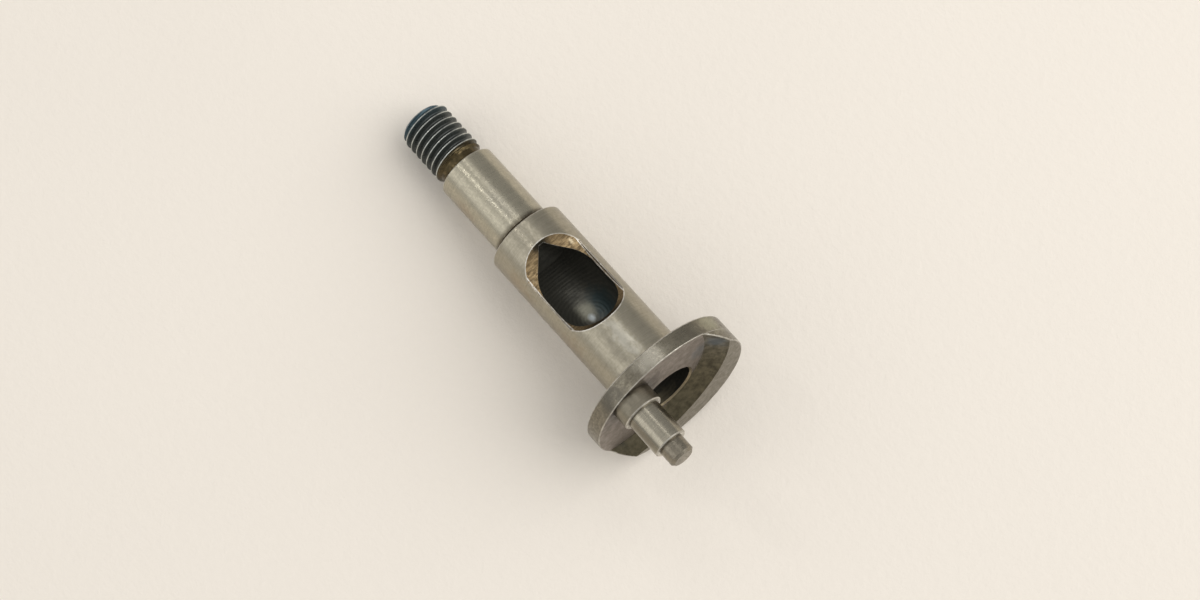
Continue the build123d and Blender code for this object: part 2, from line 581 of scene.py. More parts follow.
@dataclass(frozen=True)
class SteelFinish:
    """A cut or ground steel surface: colour, mottling, marks, stains, painted shade and highlights, and
    lines at edges.

    Grain, pitch, depth, pitting and the widths are in millimetres. Roughness goes from its
    first value on bright steel to its second on dull steel.
    """

    name: str
    bright: Colour
    dull: Colour
    roughness: tuple[float, float] = (0.24, 0.38)
    grain: float = 0.8
    stretch: Point = (1.0, 1.0, 1.0)
    contrast: float = 2.2
    centre: Centre = Centre.SHAFT
    run: Run = Run.ALONG
    pitch: float = 0.06
    regular: float = 0.0
    depth: float = 0.0012
    pitting: float = 0.002
    metallic: float = 1.0
    window_rim: float = 0.0
    patches: tuple[Patch, ...] = ()
    edges: tuple[EdgeLine, ...] = ()
    # The colour of the bright lines at edges: a painted highlight on rubbed steel.
    edge_colour: Colour = (0.86, 0.84, 0.79)

    PITS: ClassVar[Grain] = Grain(4.5, 3.0, 0.7)
    BROAD_GRAIN: ClassVar[float] = 5.0
    BROAD_CONTRAST: ClassVar[float] = 1.6
    BROAD_SHARE: ClassVar[float] = 0.45
    MARK_SPAN: ClassVar[tuple[float, float]] = (0.25, 0.75)
    MARK_SHADES: ClassVar[tuple[float, float]] = (0.86, 1.08)
    # How far a bright edge line, a painted highlight, lowers the metallic value.
    EDGE_METAL_LOSS: ClassVar[float] = 0.6
    RIM_STRENGTH: ClassVar[float] = 0.9

    def build(self, shop: Workshop) -> bpy.types.Material:
        """Makes the material.

        Args:
            shop: The shared effects.

        Returns:
            The material, in the shaft's own coordinates.
        """
        material, s, shader = new_material(self.name)
        seat = shop.seated(s, self.centre).outputs
        turned = seat["Turned"]
        along = seat[self.run.value]
        marks = s.use(
            shop.marks, turned=turned, along=along, pitch=self.pitch, regular=self.regular
        ).outputs[0]
        mottle = s.use(
            shop.mottle, turned=turned, grain=self.grain, stretch=self.stretch, contrast=self.contrast
        ).outputs[0]
        colour = self.patched(s, shop, turned, self.cut_colour(s, shop, turned, mottle, marks))
        colour, metal_shift = self.lined(s, shop, seat, colour)
        height = s.math("MULTIPLY", marks, self.depth)
        height = s.math("MULTIPLY_ADD", s.noise(turned, self.PITS), self.pitting, height)
        bump = s.put("ShaderNodeBump", {"Height": height, "Distance": MM, "Strength": 1.0})
        s.feed(shader.inputs["Base Color"], colour)
        s.feed(shader.inputs["Roughness"], s.ease(mottle, *MOTTLE_SPAN, *self.roughness[::-1]))
        s.feed(shader.inputs["Normal"], bump.outputs[0])
        if metal_shift is None:
            shader.inputs["Metallic"].default_value = self.metallic
        else:
            loss = -self.EDGE_METAL_LOSS * self.metallic
            s.feed(shader.inputs["Metallic"], s.math("MULTIPLY_ADD", metal_shift, loss, self.metallic))
        return material

    def cut_colour(self, s: Sketch, shop: Workshop, turned: Source, mottle: Source, marks: Source) -> Source:
        """Dull and bright steel by a fine and a broad mottling, a little darker in the marks."""
        grain = self.grain * self.BROAD_GRAIN
        broad = s.use(shop.mottle, turned=turned, grain=grain, contrast=self.BROAD_CONTRAST).outputs[0]
        fine = s.math("MULTIPLY", mottle, 1.0 - self.BROAD_SHARE)
        share = s.math("MULTIPLY_ADD", broad, self.BROAD_SHARE, fine)
        shade = s.ease(marks, *self.MARK_SPAN, *self.MARK_SHADES)
        return s.scaled(s.blend(share, self.dull, self.bright), shade)

    def patched(self, s: Sketch, shop: Workshop, turned: Source, colour: Source) -> Source:
        """The colour with each patch laid over it in turn."""
        for patch in self.patches:
            centre = self.centre.local(patch.centre)
            reach = self.centre.local(patch.reach, free=True)
            mask = s.use(shop.patch, turned=turned, centre=centre, reach=reach, ragged=patch.ragged)
            colour = s.blend(s.math("MULTIPLY", mask.outputs[0], patch.strength), colour, patch.colour)
        return colour

    def lined(
        self, s: Sketch, shop: Workshop, seat: dict[str, Source], colour: Source
    ) -> tuple[Source, Source | None]:
        """Draws the lines at edges: bright painted highlights on rubbed steel, and dark painted shade where
        parts meet.

        Args:
            s: The material's sketch.
            shop: The shared effects.
            seat: The place on the shaft, with Turned, Station and Radius.
            colour: The colour so far.

        Returns:
            The new colour, and how far the bright lines lower the metallic value, or None where there are no
            bright lines.
        """
        lines = [(s.math("SUBTRACT", seat[edge.by.value], edge.at), edge) for edge in self.edges]
        # A bright line of painted highlight round the window's rim.
        if self.window_rim:
            rim = EdgeLine(Run.OUTWARDS, 0.0, self.window_rim, self.RIM_STRENGTH)
            lines.append((self.past_window(s, shop), rim))
        metal_shift = None
        for away, edge in lines:
            mask = s.use(
                shop.edge_lines, turned=seat["Turned"], distance=away, width=edge.width, broken=edge.broken
            )
            line = s.math("MULTIPLY", mask.outputs[0], edge.strength)
            # Dark lines are painted shade where parts meet; bright lines are painted highlight on rubbed
            # steel and lower the metallic value.
            colour = s.blend(line, colour, CREASE_SHADE if edge.dark_brown else self.edge_colour)
            if not edge.dark_brown:
                metal_shift = line if metal_shift is None else s.math("MAXIMUM", metal_shift, line)
        return colour, metal_shift

    @staticmethod
    def past_window(s: Sketch, shop: Workshop) -> Source:
        """How far the surface is past the window's rim, in millimetres.

        It is the greater of two lengths: the width less the window's half width, and the
        distance from the cutter's axis less the cutter's radius. So it is nothing along the
        whole rim.
        """
        seat = shop.seated(s, Centre.CUTTER).outputs
        wide = s.math("ABSOLUTE", seat["Station"])
        beside = s.math("SUBTRACT", wide, SIZES.bore_radius + SIZES.window_overcut)
        beyond = s.math("SUBTRACT", seat["Radius"], SIZES.cutter_radius)
        return s.math("MAXIMUM", beside, beyond)


def beside_pin(up: float, station: float, side: float = 0.0) -> Point:
    """A place told from the crankpin's axis."""
    return (SIZES.pin_centre[0] + up, SIZES.pin_centre[1] + side, station)


WARM_STEEL = (0.30, 0.275, 0.215)
TAN = (0.36, 0.27, 0.17)
# Near-white for the window's edges: a painted highlight on rubbed, bare steel.
LIT_BARE_EDGE = (0.88, 0.86, 0.81)
# Dark brown painted shade, laid where two parts meet.
CREASE_SHADE = (0.075, 0.062, 0.042)
OPENING_EDGE = SIZES.opening_half_width + 0.07

GROUND_FRONT = SteelFinish(
    name="ground_front_journal",
    bright=(0.50, 0.465, 0.37),
    dull=(0.36, 0.335, 0.265),
    roughness=(0.27, 0.33),
    grain=0.22,
    stretch=(1.0, 1.0, 1.6),
    contrast=3.0,
    depth=0.0005,
    pitting=0.0002,
    patches=(
        Patch((0.8, 3.4, -28.6), (1.6, 1.4, 2.4), (0.37, 0.30, 0.22), 0.5),
        # Painted shade: a darker grey along the top of the front journal, between its highlights.
        Patch((3.4, 0.2, -26.0), (1.2, 1.3, 3.4), (0.33, 0.31, 0.265), 0.4, 0.8),
    ),
    edges=(
        # A bright line at the front journal's front edge: painted highlight on rubbed steel.
        EdgeLine(Run.ALONG, SIZES.front_start, 0.22),
        # Painted shade where the front journal meets the main journal's shoulder.
        EdgeLine(Run.ALONG, SIZES.main_start - SIZES.undercut_width, 0.75, 0.9, dark_brown=True),
    ),
)

GROUND_MAIN = SteelFinish(
    name="ground_main_journal",
    bright=(0.43, 0.395, 0.315),
    dull=(0.305, 0.28, 0.22),
    roughness=(0.28, 0.37),
    grain=0.26,
    stretch=(1.0, 1.0, 1.6),
    contrast=3.0,
    depth=0.0005,
    pitting=0.0002,
    window_rim=0.13,
    patches=(
        Patch((1.6, 4.5, -17.5), (1.8, 1.2, 3.4), TAN, 0.35, 0.9),
        Patch((1.2, 4.6, -8.5), (2.0, 1.2, 3.6), (0.35, 0.28, 0.20), 0.42, 0.9),
        # Painted highlight: a bright streak on the top of the main journal near the web.
        Patch((4.6, 0.2, -4.0), (1.0, 1.1, 3.6), (0.62, 0.60, 0.53), 0.5, 1.0),
        # Painted shade: a darker patch just beside that streak.
        Patch((4.4, 1.9, -3.6), (1.0, 0.8, 2.4), (0.22, 0.20, 0.16), 0.4, 1.0),
    ),
    edges=(
        # A bright line at the main journal's front edge: painted highlight on rubbed steel.
        EdgeLine(Run.ALONG, SIZES.main_start, 0.2),
        # Painted shade where the main journal meets the web.
        EdgeLine(Run.ALONG, 0.0, 0.9, 0.7, dark_brown=True),
    ),
)

# The undercut painted near black: painted shade in the narrow groove at the shoulder.
SHADED_UNDERCUT = SteelFinish(
    name="shaded_undercut",
    bright=(0.13, 0.105, 0.07),
    dull=(0.06, 0.048, 0.032),
    roughness=(0.35, 0.5),
    grain=0.6,
)

TURNED_RIM = SteelFinish(
    name="turned_web_rim",
    bright=WARM_STEEL,
    dull=(0.13, 0.115, 0.09),
    roughness=(0.26, 0.4),
    grain=0.4,
    stretch=(1.0, 1.0, 0.8),
    contrast=3.0,
    pitch=0.09,
    regular=0.2,
    depth=0.001,
    pitting=0.0014,
    patches=(
        # Painted highlight on the top of the rim.
        Patch((9.4, 0.4, 1.0), (2.6, 2.6, 2.4), (0.50, 0.47, 0.40), 0.75, 0.4),
        Patch((5.5, -7.6, 1.0), (2.4, 2.6, 1.9), (0.36, 0.35, 0.26), 0.8, 0.6),
        # Painted shade on the rim where the boss comes closest to it.
        Patch((7.4, 5.9, 1.0), (2.6, 2.6, 1.9), (0.13, 0.12, 0.10), 0.8, 0.8),
    ),
    # Bright lines at the rim's front and rear edges: painted highlight on rubbed steel.
    edges=(EdgeLine(Run.ALONG, 0.1, 0.1, 0.5), EdgeLine(Run.ALONG, SIZES.web_floor, 0.08, 0.3)),
)

TURNED_FRONT_FACE = SteelFinish(
    name="turned_web_front",
    bright=WARM_STEEL,
    dull=(0.19, 0.17, 0.13),
    roughness=(0.3, 0.45),
    run=Run.OUTWARDS,
    pitch=0.1,
    regular=0.35,
    # A bright line at the web's outer edge: painted highlight on rubbed steel.
    edges=(EdgeLine(Run.OUTWARDS, SIZES.web_radius - 0.1, 0.12, 0.5),),
)

COUNTERWEIGHT_LAND = SteelFinish(
    name="counterweight_land",
    bright=(0.27, 0.245, 0.20),
    dull=(0.17, 0.155, 0.12),
    roughness=(0.32, 0.48),
    grain=0.5,
    run=Run.OUTWARDS,
    pitch=0.1,
    regular=0.25,
    # A bright line at the land's outer edge: painted highlight on rubbed steel.
    edges=(EdgeLine(Run.OUTWARDS, SIZES.web_radius - 0.1, 0.12, 0.5),),
)

RECESS_FLOOR = SteelFinish(
    name="recess_floor",
    bright=(0.27, 0.235, 0.205),
    dull=(0.165, 0.14, 0.12),
    roughness=(0.34, 0.5),
    centre=Centre.PIN,
    run=Run.OUTWARDS,
    pitch=0.1,
    regular=0.4,
    patches=(
        # Painted shade: the floor round the boss darkened almost to black.
        Patch(beside_pin(0.0, SIZES.web_floor), (5.4, 5.4, 5.4), (0.025, 0.022, 0.018), 1.0, 0.25),
        Patch((3.6, -5.6, SIZES.web_floor), (2.2, 2.6, 2.0), (0.14, 0.145, 0.15), 0.8, 0.5),
    ),
)

RECESS_WALL = SteelFinish(
    name="recess_wall",
    bright=(0.15, 0.132, 0.088),
    dull=(0.05, 0.043, 0.027),
    roughness=(0.34, 0.52),
    contrast=3.0,
    centre=Centre.PIN,
    pitch=0.09,
    regular=0.3,
    patches=(
        Patch((4.6, -6.8, 2.9), (1.9, 2.0, 1.6), (0.10, 0.115, 0.125), 0.9, 0.5),
        # Painted shade: the recess wall darkened almost to black on its low side.
        Patch((-3.0, 6.6, 2.9), (3.0, 2.6, 1.8), (0.03, 0.036, 0.034), 0.9, 0.5),
    ),
)

BORE_MOUTH = SteelFinish(
    name="bore_mouth", bright=(0.36, 0.30, 0.20), dull=(0.12, 0.095, 0.06), roughness=(0.3, 0.4), grain=0.5
)

OILED_BORE_PAINTED_LIGHT = SteelFinish(
    name="oiled_bore_painted_light",
    bright=(0.125, 0.12, 0.10),
    dull=(0.055, 0.055, 0.046),
    roughness=(0.32, 0.46),
    metallic=0.55,
    grain=0.9,
    centre=Centre.PLUNGE,
    run=Run.OUTWARDS,
    pitch=0.42,
    regular=0.85,
    depth=0.02,
    patches=(
        # Painted shade: the bore darkened almost to black towards its mouth in the web.
        Patch((0.0, 0.0, 2.5), (9.0, 9.0, 8.0), (0.012, 0.011, 0.008), 1.0, 0.1),
        Patch((-3.0, 1.0, 1.2), (1.6, 3.2, 1.5), (0.16, 0.135, 0.085), 0.7, 0.5),
        Patch((-3.3, -2.0, -11.2), (2.6, 2.4, 3.6), (0.04, 0.075, 0.085), 0.8, 0.3),
        # Painted highlight and painted reflection: a light patch and a small bright spot on the passage's
        # far wall, among the rings.
        Patch((-3.5, 0.2, -12.0), (1.0, 1.5, 1.9), (0.42, 0.41, 0.33), 0.75, 0.4),
        Patch((-3.5, 0.15, -11.0), (0.6, 0.55, 0.7), (0.55, 0.60, 0.62), 0.9, 0.3),
    ),
)

MILLED_WINDOW = SteelFinish(
    name="milled_window",
    bright=(0.34, 0.25, 0.14),
    dull=(0.075, 0.052, 0.028),
    roughness=(0.34, 0.6),
    grain=0.3,
    stretch=(0.6, 0.6, 2.4),
    contrast=4.0,
    centre=Centre.CUTTER,
    pitch=0.12,
    pitting=0.01,
    patches=(
        # Painted shade on the middle of the window's steep front end.
        Patch((4.3, 0.2, -18.7), (1.8, 1.7, 1.4), (0.03, 0.027, 0.02), 1.0, 0.3),
        Patch((4.3, 0.0, -7.3), (1.8, 4.4, 1.6), (0.06, 0.048, 0.03), 0.9, 0.3),
        # Painted highlights on the front corners, where they face the light.
        Patch((3.2, -2.9, -17.2), (0.5, 0.35, 0.6), (0.70, 0.60, 0.42), 0.7, 0.9),
        Patch((3.0, 3.1, -16.2), (0.4, 0.3, 0.6), (0.60, 0.50, 0.33), 0.6, 0.9),
    ),
    edges=(
        # Bright lines along the edges of the opening's sides: painted highlight on rubbed steel.
        EdgeLine(Run.ALONG, OPENING_EDGE, 0.1, 0.9),
        EdgeLine(Run.ALONG, -OPENING_EDGE, 0.1, 0.9),
    ),
    edge_colour=LIT_BARE_EDGE,
)

OPENING_WALL = SteelFinish(
    name="opening_wall",
    bright=(0.16, 0.15, 0.125),
    dull=(0.07, 0.065, 0.05),
    roughness=(0.3, 0.5),
    centre=Centre.CUTTER,
    # A bright line along the opening's top edge: painted highlight on rubbed steel.
    edges=(EdgeLine(Run.OUTWARDS, SIZES.cutter_radius, 0.16, 0.95),),
    edge_colour=LIT_BARE_EDGE,
)

TURNED_BOSS = SteelFinish(
    name="turned_boss",
    bright=(0.30, 0.275, 0.215),
    dull=(0.17, 0.152, 0.12),
    roughness=(0.28, 0.44),
    centre=Centre.PIN,
    pitch=0.1,
    regular=0.4,
    edges=(
        # A bright line at the edge of the boss's face: painted highlight on rubbed steel.
        EdgeLine(Run.ALONG, SIZES.boss_end, 0.06, 0.4),
        # Painted shade where the boss meets the recess floor.
        EdgeLine(Run.ALONG, SIZES.web_floor, 0.7, 0.8, dark_brown=True),
    ),
)

GROUND_PIN = SteelFinish(
    name="ground_crankpin",
    bright=(0.46, 0.43, 0.35),
    dull=(0.34, 0.31, 0.25),
    roughness=(0.2, 0.27),
    grain=0.3,
    depth=0.0005,
    pitting=0.0002,
    centre=Centre.PIN,
    patches=(
        # Painted shade on both sides of the crankpin.
        Patch(beside_pin(1.0, 6.4, 1.7), (1.5, 1.1, 4.4), (0.17, 0.155, 0.12), 0.85, 0.3),
        Patch(beside_pin(1.0, 6.4, -1.7), (1.5, 0.9, 4.4), (0.20, 0.18, 0.14), 0.7, 0.3),
    ),
    edges=(
        # A bright line at the crankpin's shoulder edge: painted highlight on rubbed steel.
        EdgeLine(Run.ALONG, SIZES.pin_end, 0.06, 0.4),
        # Painted shade where the crankpin meets the boss.
        EdgeLine(Run.ALONG, SIZES.boss_end, 0.4, 0.7, dark_brown=True),
    ),
)

DRIVE_STUB = SteelFinish(
    name="drive_stub",
    bright=(0.33, 0.30, 0.24),
    dull=(0.17, 0.15, 0.12),
    roughness=(0.24, 0.4),
    grain=0.4,
    centre=Centre.PIN,
    # Painted shade where the stub meets the crankpin's shoulder.
    edges=(EdgeLine(Run.ALONG, SIZES.pin_end, 0.35, 0.8, dark_brown=True),),
)

BROKEN_EDGE = SteelFinish(
    name="broken_edge",
    bright=(0.66, 0.63, 0.56),
    dull=(0.19, 0.17, 0.14),
    roughness=(0.3, 0.42),
    grain=0.7,
    contrast=3.0,
    depth=0.0,
    metallic=0.8,
)


@dataclass(frozen=True)
class BlackOxide:
    """Black oxide on the thread, rubbed off its crests, browned by oil in the relief."""

    name: str = "black_oxide_thread"
    oxide: Colour = (0.030, 0.034, 0.032)
    tip_tint: Colour = (0.05, 0.10, 0.13)
    crest: Colour = (0.58, 0.60, 0.57)
    relief: Colour = (0.13, 0.10, 0.052)
    relief_dark: Colour = (0.045, 0.036, 0.02)
    grain: float = 0.5
    contrast: float = 2.4
    roughness: tuple[float, float] = (0.26, 0.42)
    metallic: tuple[float, float] = (0.55, 1.0)
    bare_from: float = 0.6
    oxide_spread: float = 1.9
    tip_strength: float = 0.8
    tip_reach: float = 1.6
    oil_from: float = -0.9
    oil_to: float = 0.2
    crest_width: float = 0.06
    crest_broken: float = 0.35
    pits: Grain = Grain(5.0, 3.0, 0.7)
    pitting: float = 0.006

    def build(self, shop: Workshop) -> bpy.types.Material:
        """Makes the material.

        Args:
            shop: The shared effects.

        Returns:
            The material, in the shaft's own coordinates.
        """
        material, s, shader = new_material(self.name)
        seat = shop.seated(s, Centre.SHAFT).outputs
        turned, station, radius = seat["Turned"], seat["Station"], seat["Radius"]
        mottle = s.use(shop.mottle, turned=turned, grain=self.grain, contrast=self.contrast).outputs[0]
        colour = s.blend(mottle, self.oxide, tuple(self.oxide_spread * c for c in self.oxide))
        tip_from = SIZES.thread_tip + self.tip_reach
        tip = s.ease(station, tip_from, SIZES.thread_tip, 0.0, self.tip_strength)
        colour = s.blend(tip, colour, self.tip_tint)
        dark_brown = s.ease(station, SIZES.thread_end + self.oil_from, SIZES.thread_end + self.oil_to)
        colour = s.blend(dark_brown, colour, s.blend(mottle, self.relief_dark, self.relief))
        away = s.math("SUBTRACT", SIZES.thread_radius, radius)
        worn = s.use(
            shop.edge_lines, turned=turned, distance=away, width=self.crest_width, broken=self.crest_broken
        ).outputs[0]
        colour = s.blend(worn, colour, self.crest)
        rough = s.ease(mottle, *MOTTLE_SPAN, *self.roughness[::-1])
        height = s.math("MULTIPLY", s.noise(turned, self.pits), self.pitting)
        bump = s.put("ShaderNodeBump", {"Height": height, "Distance": MM})
        s.feed(shader.inputs["Base Color"], colour)
        s.feed(shader.inputs["Roughness"], rough)
        s.feed(shader.inputs["Normal"], bump.outputs[0])
        metal_shift = s.math("MAXIMUM", worn, dark_brown)
        s.feed(shader.inputs["Metallic"], s.ease(metal_shift, 0.0, self.bare_from, *self.metallic))
        return material


# ---------------------------------------------------------------------------
# The turned and milled body
# ---------------------------------------------------------------------------


class Region(IntEnum):
    """The body's surfaces, in the order of its material slots."""

    FRONT = 0
    UNDERCUT = 1
    MAIN = 2
    WINDOW = 3
    BORE = 4
    MOUTH = 5
    WEB_FRONT = 6
    RIM = 7
    LAND = 8
    FLOOR = 9
    WALL = 10
    BOSS = 11
    PIN = 12
    STUB = 13
    EDGE = 14
    OPENING = 15


class Form(Enum):
    """The forms that a cut surface can have."""

    FLAT = "flat"
    ROUND = "round"
    CONE = "cone"
    CUTTER = "cutter"
    SIDE = "side"
    OPENING = "opening"


class WindowOpening:
    """The steep-walled opening through the window's floor into the gas passage.

    Its outline looks along the shaft's X. Two front walls at 45 degrees would meet in a point,
    a narrow flat cuts that point off, arcs lead from the walls to the straight sides, and the
    rear end is a half circle.
    """

    def __init__(self, sizes: ShaftSizes) -> None:
        """Works out where the outline's parts follow one another.

        Args:
            sizes: The shaft's sizes.
        """
        self.half = sizes.opening_half_width
        self.blend = sizes.opening_blend
        self.low, self.high = sizes.opening_low, sizes.web_radius
        self.rear = -sizes.rear_land - sizes.opening_inset
        self.tip = sizes.bore_end + sizes.opening_tip
        self.meet = sizes.bore_end - sizes.opening_meet
        self.round_from = self.rear - self.half
        self.side_from = self.meet + self.half + self.blend * math.tan(math.pi / 8)

    def outline(self) -> np.ndarray:
        """Y and station of the outline's points, once round.

        The flat's corner is the flat's station less the meeting point, the arc and the half
        circle are their centres plus radius times cosine and sine, and the other side is the
        first with Y turned over.

        Returns:
            The points, anticlockwise seen from above the window.
        """
        turn = np.linspace(math.pi / 4, 0.0, 11)
        wide = self.half - self.blend + self.blend * np.cos(turn)
        arc = np.stack([wide, self.side_from - self.blend * np.sin(turn)], axis=1)
        side = np.vstack([[[self.tip - self.meet, self.tip]], arc])
        sweep = np.linspace(0.0, math.pi, 37)
        rear = self.half * np.stack([np.cos(sweep), np.sin(sweep)], axis=1) + [0.0, self.round_from]
        return np.vstack([side, rear, (side * [-1.0, 1.0])[::-1]])

    def nearest(self, points: np.ndarray) -> tuple[np.ndarray, np.ndarray]:
        """How far each point is outside the outline, and which way is out.

        Behind the sides it is the distance from the half circle's centre less its radius,
        beside them it is the width less half the opening's, at the arcs it is as at the half
        circle, and at the front walls it is the width less the station's, over root two.

        Args:
            points: Points in the shaft's frame.

        Returns:
            The distances in millimetres, and unit directions in the shaft's frame.
        """
        wide, z = np.abs(points[:, 1]), points[:, 2]
        rear = np.stack([wide, z - self.round_from], axis=1)
        arc = np.stack([wide - self.half + self.blend, z - self.side_from], axis=1)
        level = np.tile([1.0, 0.0], (len(points), 1))
        front = np.tile([math.sqrt(0.5), -math.sqrt(0.5)], (len(points), 1))
        cases = [z > self.round_from, z > self.side_from, -arc[:, 1] <= arc[:, 0]]
        behind = np.linalg.norm(rear, axis=1) - self.half
        at_arc = np.linalg.norm(arc, axis=1) - self.blend
        ahead = (wide - z + self.meet) * math.sqrt(0.5)
        away = np.select(cases, [behind, wide - self.half, at_arc], ahead)
        out = np.select([case[:, None] for case in cases], [rear, level, arc], front)
        out /= np.maximum(np.linalg.norm(out, axis=1), TINY)[:, None]
        sign = np.where(points[:, 1] < 0.0, -1.0, 1.0)
        return away, np.stack([np.zeros_like(away), out[:, 0] * sign, out[:, 1]], axis=1)

    def cutter(self, place: ShaftFrame) -> bpy.types.Object:
        """The prism over the outline, from inside the passage to above the journal.

        Args:
            place: The shaft's frame.

        Returns:
            A closed object, to be cut from the body.
        """
        flat = self.outline()
        count = len(flat)
        ends = [np.column_stack([np.full(count, x), flat]) for x in (self.low, self.high)]
        first = np.arange(count)
        after = (first + 1) % count
        sides = np.stack([first, after, after + count, first + count], axis=1).tolist()
        mesh = bpy.data.meshes.new("opening_cutter")
        faces = [*sides, first[::-1].tolist(), (first + count).tolist()]
        mesh.from_pydata(place.outward(np.vstack(ends)).tolist(), [], faces)
        return placed("opening_cutter", mesh)


OPENING = WindowOpening(SIZES)


@dataclass(frozen=True)
class Surface:
    """One cut surface of the body, told by its form and sizes, in the shaft's frame.

    What it is at is a flat's station, a round's or the cutter's radius, a cone's radius at the
    front of its span, or a side's half width. The span is from one station to another.
    """

    region: Region
    form: Form
    at: float
    span: tuple[float, float] = (-99.0, 99.0)
    centre: Centre = Centre.SHAFT
    slope: float = 0.0
    inward: bool = False

    def about(self, points: np.ndarray) -> np.ndarray:
        """X and Y of the points from the surface's own axis."""
        axis = SIZES.pin_centre if self.centre is Centre.PIN else (0.0, 0.0, 0.0)
        return points[:, :2] - np.array(axis[:2])

    def miss(self, points: np.ndarray) -> np.ndarray:
        """How far each point is off the surface.

        A flat misses by station less its own, a round or a cone by radius less its radius at
        that station, the cutter by distance from its axis less its radius, and the window's
        sides by width less their own.

        Args:
            points: Points in the shaft's frame.

        Returns:
            The distances, in millimetres.
        """
        radius = np.linalg.norm(self.about(points), axis=1)
        if self.form is Form.FLAT:
            return points[:, 2] - self.at
        if self.form is Form.ROUND:
            return radius - self.at
        if self.form is Form.CONE:
            return radius - self.at - (points[:, 2] - self.span[0]) * self.slope
        if self.form is Form.OPENING:
            return OPENING.nearest(points)[0]
        if self.form is Form.CUTTER:
            high = SIZES.window_floor + SIZES.cutter_radius
            return np.hypot(points[:, 0] - high, points[:, 2] - SIZES.window_centre) - self.at
        return np.abs(points[:, 1]) - self.at

    def facing(self, points: np.ndarray) -> np.ndarray:
        """The exact outward normal at each point, from the form's own formula.

        Args:
            points: Points in the shaft's frame.

        Returns:
            Unit normals, straight along the axis, away from it, or leant by a cone's slope.
        """
        out = np.zeros_like(points)
        if self.form is Form.FLAT:
            out[:, 2] = 1.0
        elif self.form in (Form.ROUND, Form.CONE):
            out[:, :2] = self.about(points)
            out[:, :2] /= np.maximum(np.linalg.norm(out[:, :2], axis=1), TINY)[:, None]
            out[:, 2] = -self.slope
        elif self.form is Form.CUTTER:
            out[:, 0] = points[:, 0] - SIZES.window_floor - SIZES.cutter_radius
            out[:, 2] = points[:, 2] - SIZES.window_centre
        elif self.form is Form.OPENING:
            out = OPENING.nearest(points)[1]
        else:
            out[:, 1] = np.sign(points[:, 1])
        out /= np.maximum(np.linalg.norm(out, axis=1), TINY)[:, None]
        return -out if self.inward else out


FINISHES: dict[Region, SteelFinish] = {
    Region.FRONT: GROUND_FRONT,
    Region.UNDERCUT: SHADED_UNDERCUT,
    Region.MAIN: GROUND_MAIN,
    Region.WINDOW: MILLED_WINDOW,
    Region.BORE: OILED_BORE_PAINTED_LIGHT,
    Region.MOUTH: BORE_MOUTH,
    Region.WEB_FRONT: TURNED_FRONT_FACE,
    Region.RIM: TURNED_RIM,
    Region.LAND: COUNTERWEIGHT_LAND,
    Region.FLOOR: RECESS_FLOOR,
    Region.WALL: RECESS_WALL,
    Region.BOSS: TURNED_BOSS,
    Region.PIN: GROUND_PIN,
    Region.STUB: DRIVE_STUB,
    Region.EDGE: BROKEN_EDGE,
    Region.OPENING: OPENING_WALL,
}


